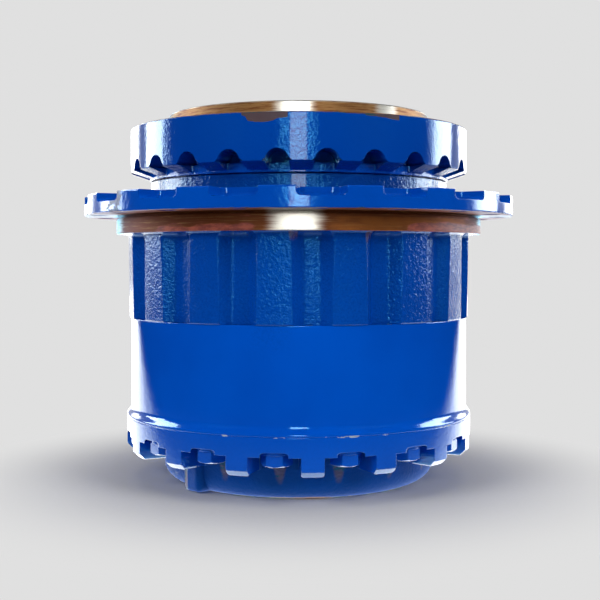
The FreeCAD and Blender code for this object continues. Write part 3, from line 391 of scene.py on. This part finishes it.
def housing_finish(settings):
    def bare(graph, at):
        band = at.z.within(PILOT_END - 0.0002, SPROCKET_BACK + 0.0004, 0.0003)
        outer = at.radius.rise(SPROCKET_PILOT_R - 0.0045, SPROCKET_PILOT_R - 0.0035)
        under = at.z.rise(SPROCKET_BACK + 0.0016, SPROCKET_BACK + 0.0006)
        inside = at.radius.rise(HOUSING_BORE_R + 0.001, HOUSING_BORE_R)
        return (band * outer * under).either(inside)

    def cast(graph, at):
        ribs = at.z.rise(PILOT_END + 0.001, PILOT_END - 0.001)
        neck = at.z.rise(NECK_FOOT, NECK_FOOT + 0.0013)
        return ribs.either(neck).either(at.z * 0.0 + 0.16)

    def chips(graph, at):
        rim = at.radius.rise(SPROCKET_R - 0.003, SPROCKET_R)
        scrape = at.window(-57.0, -46.0, 3.0) * rim
        ragged = graph.noise(graph.joined(at.x, at.y, at.z * 2.0), 60.0, 5.0, 0.7)
        marks = (scrape * 0.3 + ragged * 0.6).rise(0.57, 0.61) * rim * 0.8
        top = at.z.rise(SPROCKET_BACK + 0.0205, SPROCKET_BACK + 0.0228)
        corners = (graph.noise(at.point, 130.0, 5.0, 0.7) * top * rim).rise(0.61, 0.67)
        foot = at.z.rise(SPROCKET_BACK + 0.0032, SPROCKET_BACK + 0.0008)
        lower = (graph.noise(at.wrap(), 85.0, 5.0, 0.72) * foot * rim).rise(0.50, 0.58)
        few = chip_field(graph, at, 0.75, 80.0)
        return marks.either(corners).either(lower * 0.85).either(few)

    def primer(graph, at):
        left = at.window(-46.0, -10.0, 4.0)
        right = at.window(31.0, 84.0, 5.0)
        field = graph.noise(graph.joined(at.arc * 4.0, at.z * 26.0, at.radius), 5.0, 5.0, 0.7)
        low = at.z.rise(PILOT_END + 0.013, PILOT_END + 0.001)
        back = at.radius.rise(SPROCKET_PILOT_R + 0.002, SPROCKET_PILOT_R + 0.006)
        elsewhere = graph.noise(graph.joined(at.bearing * 0.02, at.radius, at.z), 2.0, 2.0).rise(0.52, 0.62)
        amount = left.either(right).either(elsewhere * at.y.rise(0.0, 0.05))
        band = (amount * 0.46 + field * 0.62 + low * 0.26 * right + low * 0.16).rise(0.80, 0.90)
        outer = at.radius.rise(SPROCKET_PILOT_R - 0.002, SPROCKET_PILOT_R - 0.0005)
        return (band * outer).either(back * 0.55)

    def stain(graph, at):
        ribs = at.z.rise(PILOT_END + 0.0004, PILOT_END - 0.0004)
        top = at.z.rise(PILOT_END - 0.034, PILOT_END - 0.004) * ribs
        field = graph.noise(graph.joined(at.bearing * 0.12, at.z * 7.0, at.radius * 10.0), 2.6, 5.0, 0.7)
        spots = at.window(-3.4, 0.4, 1.2).either(at.window(19.5, 23.5, 1.0)) * top
        return (top * 0.26 + field * 0.55 + spots * 0.30).rise(0.72, 0.86) * top * 0.75

    # Unrusted steel and painted highlight: the front lamp's reflection, and the lighter far ends of the band.
    def bright(graph, at):
        front = at.window(-7.0, 5.5, 5.0)
        ends = at.window(-90.0, -66.0, 6.0).either(at.window(70.0, 92.0, 6.0)) * 0.55
        return front.either(ends)

    def orange(graph, at):
        return at.window(6.0, 60.0, 6.0) * at.z.rise(SPROCKET_BACK - 0.002, SPROCKET_BACK - 0.008) * 0.7

    # Painted shade: the neck and ribs under the frame flange, and a little over the whole sprocket flange,
    # are darkened.
    def painted_shade(graph, at):
        neck = at.radius.rise(NECK_LIGHT_R + 0.002, NECK_LIGHT_R) * at.z.rise(NECK_FOOT, NECK_FOOT + 0.0013)
        ribs = at.z.rise(PILOT_END + 0.001, PILOT_END - 0.001)
        rim = at.z.rise(SPROCKET_BACK, SPROCKET_BACK + 0.001)
        return (neck * 0.92).either(ribs * 0.5).either(rim * 0.34)

    return painted_casting("housing_paint", settings, bare, cast, chips, primer, stain, bright=bright,
                           orange=orange, painted_shade=painted_shade)


def joint_chips_and_highlight(graph, at, upper):
    """Paint cracked off in flakes along the joint between the drum, which is upper, and its cover, in a pale
    tone that also stands as a painted highlight along the joint.
    """
    far, close = (0.0024, 0.0008) if upper else (-0.0020, -0.0006)
    reach = at.z.rise(RING_FOOT + far, RING_FOOT + close)
    flakes = graph.noise(at.wrap(0.7, 1.4), 80.0, 4.0, 0.7)
    return (flakes * 0.62 + reach * 0.42).rise(0.76, 0.80) * reach


def drum_finish(settings):
    def bare(graph, at):
        return at.radius.rise(DRUM_BORE_R + 0.0005, DRUM_BORE_R)

    def cast(graph, at):
        return at.window(-14.0, -3.0, 4.0) * at.z.rise(RING_TOP - 0.045, RING_TOP - 0.005) * 0.5

    def chips(graph, at):
        lip = at.z.rise(RING_TOP - 0.0016, RING_TOP - 0.0003)
        rub = (graph.noise(at.point, 90.0, 4.0, 0.7) * lip).rise(0.60, 0.66)
        return rub.either(chip_field(graph, at, 0.775, 60.0))

    # Chipped paint and a painted highlight along the joint.
    def scuff_and_highlight(graph, at):
        return joint_chips_and_highlight(graph, at, True)

    return painted_casting("drum_paint", settings, bare, cast, chips, scuff_and_highlight=scuff_and_highlight)


def cover_finish(settings):
    def bare(graph, at):
        inside = at.radius.rise(COVER_BORE_R + 0.0002, COVER_BORE_R) * at.z.rise(0.0155, 0.0159)
        return inside.either(at.z.rise(RING_FOOT, RING_FOOT + 0.0003))

    def wall(graph, at):
        return at.radius.rise(WALL_FILLET_R, WALL_R)

    def cast(graph, at):
        return wall(graph, at).either(at.z * 0.0 + 0.2)

    def seat_edge(graph, at):
        """The rim of each milled bolt seat, where it bites into the wall."""
        turn = (at.bearing - BOLT_BEARING) / BOLT_PITCH
        off = (turn - turn.math("ROUND")) * math.radians(BOLT_PITCH)
        across = at.radius * off.math("SINE")
        along = at.radius * off.math("COSINE") - BOLT_CIRCLE
        reach = (across * across + along * along).math("SQRT")
        rim = reach.within(BOLT_SEAT_R - 0.0006, BOLT_SEAT_R + 0.0009, 0.0005)
        return rim * at.radius.rise(0.1700, 0.1690)

    def chips(graph, at):
        foot = at.z.rise(0.0022, 0.0008)
        scuffed = (graph.noise(at.point, 36.0, 4.0, 0.6) * foot).rise(0.40, 0.48)
        return (seat_edge(graph, at) * 0.75).either(scuffed).either(chip_field(graph, at, 0.76, 75.0))

    def stain(graph, at):
        under = at.z.rise(0.0060, 0.0015)
        front = at.window(-14.0, 16.0, 6.0)
        field = graph.noise(at.point, 26.0, 4.0, 0.6)
        return (under * 0.4 + front * 0.2 + field * 0.5).rise(0.74, 0.84) * under

    # Chalky marks on the left of the wall, and chipped paint with a painted highlight along the joint.
    def scuff_and_highlight(graph, at):
        left = at.window(-90.0, -50.0, 8.0) * wall(graph, at)
        streaks = graph.noise(at.wrap(1.0, 2.2), 55.0, 5.0, 0.75)
        chalk = (left * 0.2 + streaks * 0.7).rise(0.56, 0.72) * left * 0.6
        return chalk.either(joint_chips_and_highlight(graph, at, False))

    # The wall under the flange gets painted shade, and a matt finish.
    return painted_casting("cover_paint", settings, bare, cast, chips, stain=stain, scuff_and_highlight=scuff_and_highlight, painted_shade=wall,
                           matt=wall)


def bolt_finish(settings):
    def cast(graph, at):
        return at.z * 0.0 + 0.35

    def bare(graph, at):
        return at.z.rise(HEAD_FOOT, HEAD_FOOT + 0.0005)

    def chips(graph, at):
        return chip_field(graph, at, 0.68, 190.0)

    return painted_casting("bolt_paint", settings, bare, cast, chips)


def plain_finish(name, low, high, scale, roughness, metallic, bump):
    """Two tones of one substance with fine relief, for the inner pieces."""
    material, graph = new_graph(name)
    point = graph.place()
    cloud = graph.noise(point, scale, 4.0, 0.6)
    fine = graph.noise(point, scale * 14.0, 2.0, 0.6)
    base = graph.mix(cloud.rise(0.3, 0.7), colour(low), colour(high))
    normal = graph.bump(fine, bump, 0.8)
    finish_material(graph, {"Base Color": base, "Roughness": roughness + fine * 0.12, "Normal": normal},
                    Metallic=metallic)
    return material


# ---------------------------------------------------------------- settings

def tint(name, description, default):
    return bpy.props.FloatVectorProperty(name=name, description=description, default=default, size=3,
                                         subtype="COLOR", min=0.0, max=1.0)


class FinalDriveFinish(bpy.types.PropertyGroup):
    """Colours and relief of the outer finishes."""

    paint: tint("Paint", "Gloss blue over the castings", (0.0, 0.073, 0.49))
    paint_deep: tint("Paint, thick", "Blue where the coat is thick", (0.0, 0.063, 0.44))
    # Painted shade: the blue of the hollows between the lumps and of the parts under flanges.
    paint_in_shade: tint("Paint, hollows", "Blue pooled between the lumps of the casting", (0.0, 0.033, 0.215))
    paint_pale: tint("Paint, dusty", "Blue under dried dust", (0.06, 0.16, 0.46))
    gloss_tint: tint("Gloss tint", "Tint of what the paint mirrors head-on", (0.10, 0.60, 1.0))
    # Unrusted turned steel, also shown as the painted highlight on the metal bands.
    steel_bright: tint("Steel, bright", "Freshly turned steel", (0.80, 0.77, 0.68))
    steel_gold: tint("Steel, golden", "Steel under old oil", (0.38, 0.205, 0.070))
    steel_dark: tint("Steel, brown", "Steel browned in storage", (0.19, 0.058, 0.014))
    steel_pit: tint("Steel, pits", "Small rust pits", (0.05, 0.022, 0.012))
    rust: tint("Rust", "Thin rust on turned steel", (0.34, 0.115, 0.020))
    primer: tint("Primer", "Red primer on the pilot band", (0.38, 0.085, 0.032))
    primer_dark: tint("Primer, dark", "Red primer under grime", (0.20, 0.036, 0.013))
    stain: tint("Stain", "Rust run down over the paint", (0.15, 0.07, 0.045))
    # Whitened paint, also used for the painted highlight along the joint between drum and cover.
    scuff_and_highlight: tint("Scuff", "Paint whitened by knocks", (0.42, 0.46, 0.50))
    chip: tint("Chip", "Old primer under lost paint", (0.075, 0.034, 0.028))
    chip_dark: tint("Chip, dark", "Undercoat under lost paint", (0.012, 0.045, 0.045))
    edge_radius: bpy.props.FloatProperty(name="Edge", description="Roll of the paint over sharp edges",
                                         default=0.0012, subtype="DISTANCE", unit="LENGTH")
    coat: bpy.props.FloatProperty(name="Gloss", description="Weight of the clear gloss over the blue",
                                  default=0.22, min=0.0, max=1.0, subtype="FACTOR")


class FinalDriveStudio(bpy.types.PropertyGroup):
    """Camera, floor and lamps."""

    eye_distance: bpy.props.FloatProperty(
        name="Eye distance", description="From the drive axis to the camera", default=1.335,
        subtype="DISTANCE", unit="LENGTH")
    eye_height: bpy.props.FloatProperty(name="Eye height", description="Of the camera over the floor",
                                        default=0.264, subtype="DISTANCE", unit="LENGTH")
    lens: bpy.props.FloatProperty(name="Lens", description="Focal length on a 36 mm sensor", default=64.6,
                                  unit="CAMERA")
    backdrop: tint("Backdrop", "Pale grey behind the drive", (0.745, 0.745, 0.745))
    fill: bpy.props.FloatProperty(name="Fill", description="Soft light from all round", default=0.27, min=0.0)
    floor_glow: bpy.props.FloatProperty(
        name="Floor glow", description="How bright gloss mirrors the lit floor", default=4.2, min=0.0)
    floor_reach: bpy.props.FloatProperty(name="Floor", description="Half the side of the floor", default=6.0,
                                         subtype="DISTANCE", unit="LENGTH")


# ---------------------------------------------------------------- operators

class FINALDRIVE_OT_hub(bpy.types.Operator):
    """Paints the hub and leaves its frame pilot bare"""

    bl_idname = "finaldrive.hub"
    bl_label = "Hub"

    def execute(self, context):
        give(hub_finish(context.scene.final_drive_finish), "hub_spindle")
        return {"FINISHED"}


class FINALDRIVE_OT_housing(bpy.types.Operator):
    """Paints the ribbed housing round its bare sprocket pilot"""

    bl_idname = "finaldrive.housing"
    bl_label = "Rotating housing"

    def execute(self, context):
        give(housing_finish(context.scene.final_drive_finish), "rotating_housing")
        return {"FINISHED"}


class FINALDRIVE_OT_drum(bpy.types.Operator):
    """Paints the ring gear drum"""

    bl_idname = "finaldrive.drum"
    bl_label = "Ring gear drum"

    def execute(self, context):
        give(drum_finish(context.scene.final_drive_finish), "ring_gear")
        return {"FINISHED"}


class FINALDRIVE_OT_cover(bpy.types.Operator):
    """Paints the end cover with its bolts"""

    bl_idname = "finaldrive.cover"
    bl_label = "End cover and bolts"

    def execute(self, context):
        settings = context.scene.final_drive_finish
        give(cover_finish(settings), "end_cover")
        give(bolt_finish(settings), "cover_bolts", "cover_lock_washers")
        return {"FINISHED"}


INNER_FINISHES = {
    "ground_steel": ((0.46, 0.46, 0.47), (0.62, 0.62, 0.62), 30.0, 0.22, 1.0, 0.00002),
    "gear_steel": ((0.30, 0.31, 0.33), (0.46, 0.47, 0.49), 22.0, 0.30, 1.0, 0.00004),
    "cast_carrier": ((0.09, 0.09, 0.095), (0.17, 0.17, 0.175), 60.0, 0.58, 0.6, 0.0006),
    "seal_rubber": ((0.012, 0.012, 0.013), (0.03, 0.03, 0.03), 40.0, 0.55, 0.0, 0.0002),
    "bronze_washer": ((0.50, 0.30, 0.12), (0.66, 0.44, 0.20), 45.0, 0.32, 1.0, 0.00005),
    "copper_ring": ((0.62, 0.28, 0.16), (0.74, 0.40, 0.25), 60.0, 0.30, 1.0, 0.00004),
}


class FINALDRIVE_OT_inner(bpy.types.Operator):
    """Gives gears, carriers, bearings and seals their metals and rubber"""

    bl_idname = "finaldrive.inner"
    bl_label = "Gears, bearings and seals"

    def execute(self, context):
        made = {slot: plain_finish(slot + "_finish", *values) for slot, values in INNER_FINISHES.items()}
        for part in frame["record"]["subparts"]:
            if part["material_slot"] in made:
                give(made[part["material_slot"]], part["node"])
        return {"FINISHED"}


def area_lamp(name, bearing, distance, height, width, tall, power, gloss=True, diffuse=True,
              aim_height=None):
    """Softbox round the drive; bearing is in degrees from the front, + to the right."""
    data = bpy.data.lights.new(name, "AREA")
    data.shape = "RECTANGLE"
    data.size, data.size_y, data.energy = width, tall, power
    lamp = bpy.data.objects.new(name, data)
    turn = math.radians(bearing)
    lamp.location = (distance * math.sin(turn), -distance * math.cos(turn), height)
    aim = Vector((0.0, 0.0, height if aim_height is None else aim_height)) - lamp.location
    lamp.rotation_euler = aim.to_track_quat("-Z", "Y").to_euler()
    lamp.visible_camera = False
    lamp.visible_glossy = gloss
    lamp.visible_diffuse = diffuse
    bpy.context.scene.collection.objects.link(lamp)


def ray_kinds(graph):
    """Camera rays, and glossy or transmitted ones."""
    outputs = graph.node("LightPath").socket.node.outputs
    camera, glossy, through = (Flow(graph, outputs[name]) for name in
                               ("Is Camera Ray", "Is Glossy Ray", "Is Transmission Ray"))
    return camera, glossy.either(through)


def make_floor(studio):
    """Pale paper that keeps the drive's shadow and fades into the backdrop.

    Gloss mirrors it brightest behind the drive.
    """
    reach = studio.floor_reach
    mesh = bpy.data.meshes.new("floor")
    corners = [(-reach, -reach, 0), (reach, -reach, 0), (reach, reach, 0), (-reach, reach, 0)]
    mesh.from_pydata(corners, [], [(0, 1, 2, 3)])
    floor = bpy.data.objects.new("floor", mesh)
    bpy.context.scene.collection.objects.link(floor)
    material, graph = new_graph("floor_paper")
    at = Around(graph)
    camera, glossy = ray_kinds(graph)
    tone = graph.mix(graph.noise(at.point, 160.0, 2.0), grey(0.50), grey(0.53))
    paper = graph.node("BsdfDiffuse", inputs={0: tone})
    lit = (at.y - at.radius * 0.85 + 0.61).rise(0.0, 0.34) * studio.floor_glow
    mirrored = lit + at.radius.rise(0.9, 0.3) * 0.5
    shown = graph.mix(camera, graph.joined(mirrored, mirrored, mirrored), colour(studio.backdrop))
    glow = graph.node("Emission", inputs={0: shown})
    far = (at.radius.rise(0.22, 0.46) * camera).either(glossy)
    blend = graph.node("MixShader", inputs={0: far, 1: paper, 2: glow})
    graph.node("OutputMaterial", inputs={0: blend})
    mesh.materials.append(material)


def make_world(studio):
    """Pale to the eye; what the gloss mirrors is pale behind the drive and dark in front of it."""
    world = bpy.data.worlds.new("studio")
    bpy.context.scene.world = world
    world.use_nodes = True
    graph = Graph(world.node_tree)
    camera, glossy = ray_kinds(graph)
    along = graph.parts(graph.node("TexCoord", output="Generated"))[1]
    mirrored = graph.mix(along.rise(0.25, 0.85), colour((0.012, 0.012, 0.014)), colour(studio.backdrop))
    tone = graph.mix(glossy, colour((studio.fill, studio.fill, studio.fill * 1.03)), mirrored)
    tone = graph.mix(camera, tone, colour(studio.backdrop))
    graph.node("OutputWorld", inputs={0: graph.node("Background", inputs={0: tone})})


SENSOR_WIDTH = 36.0
LENS_SHIFT = (0.0023, -0.068)


def make_camera(studio):
    data = bpy.data.cameras.new("camera")
    data.sensor_width = SENSOR_WIDTH
    data.lens = studio.lens
    data.shift_x, data.shift_y = LENS_SHIFT
    data.clip_start = 0.01
    data.clip_end = 60.0
    camera = bpy.data.objects.new("camera", data)
    camera.location = (0.0, -studio.eye_distance, studio.eye_height)
    camera.rotation_euler = (math.radians(90.0), 0.0, 0.0)
    bpy.context.scene.collection.objects.link(camera)
    bpy.context.scene.camera = camera


class FINALDRIVE_OT_stage(bpy.types.Operator):
    """Sets the floor, the backdrop, the lamps and the camera"""

    bl_idname = "finaldrive.stage"
    bl_label = "Studio"

    def execute(self, context):
        studio = context.scene.final_drive_studio
        make_floor(studio)
        make_world(studio)
        make_camera(studio)
        for side, name in ((-1.0, "left"), (1.0, "right")):
            area_lamp("strip_" + name, side * 106.0, 1.60, 0.83, 0.60, 1.0, 26.0, diffuse=False)
            area_lamp("rim_" + name, side * 147.0, 1.75, 0.83, 1.0, 1.0, 16.0, diffuse=False)
            area_lamp("key_" + name, side * 48.0, 2.2, 1.25, 1.2, 1.2, 33.0, gloss=False, aim_height=0.2)
        area_lamp("front", 0.0, 2.0, 0.80, 0.34, 0.85, 15.0, diffuse=False)
        area_lamp("top", 0.0, 0.01, 2.3, 1.6, 1.6, 25.0, gloss=False, aim_height=0.0)
        context.scene.view_settings.view_transform = "Standard"
        return {"FINISHED"}


class FINALDRIVE_PT_panel(bpy.types.Panel):
    """Lists the steps that dress the final drive"""

    bl_idname = "FINALDRIVE_PT_panel"
    bl_label = "Final Drive"
    bl_space_type = "VIEW_3D"
    bl_region_type = "UI"
    bl_category = "Final Drive"

    def draw(self, context):
        for step in STEPS:
            self.layout.operator(step.bl_idname)
        for group in (context.scene.final_drive_finish, context.scene.final_drive_studio):
            box = self.layout.box()
            for name in group.__annotations__:
                box.prop(group, name)


STEPS = (FINALDRIVE_OT_hub, FINALDRIVE_OT_housing, FINALDRIVE_OT_drum, FINALDRIVE_OT_cover,
         FINALDRIVE_OT_inner, FINALDRIVE_OT_stage)
CLASSES = (FinalDriveFinish, FinalDriveStudio) + STEPS + (FINALDRIVE_PT_panel,)


def register():
    for item in CLASSES:
        bpy.utils.register_class(item)
    bpy.types.Scene.final_drive_finish = bpy.props.PointerProperty(type=FinalDriveFinish)
    bpy.types.Scene.final_drive_studio = bpy.props.PointerProperty(type=FinalDriveStudio)


def unregister():
    del bpy.types.Scene.final_drive_studio
    del bpy.types.Scene.final_drive_finish
    for item in reversed(CLASSES):
        bpy.utils.unregister_class(item)


def main():
    register()
    for step in STEPS:
        group, name = step.bl_idname.split(".")
        getattr(getattr(bpy.ops, group), name)()


if __name__ == "__main__":
    main()
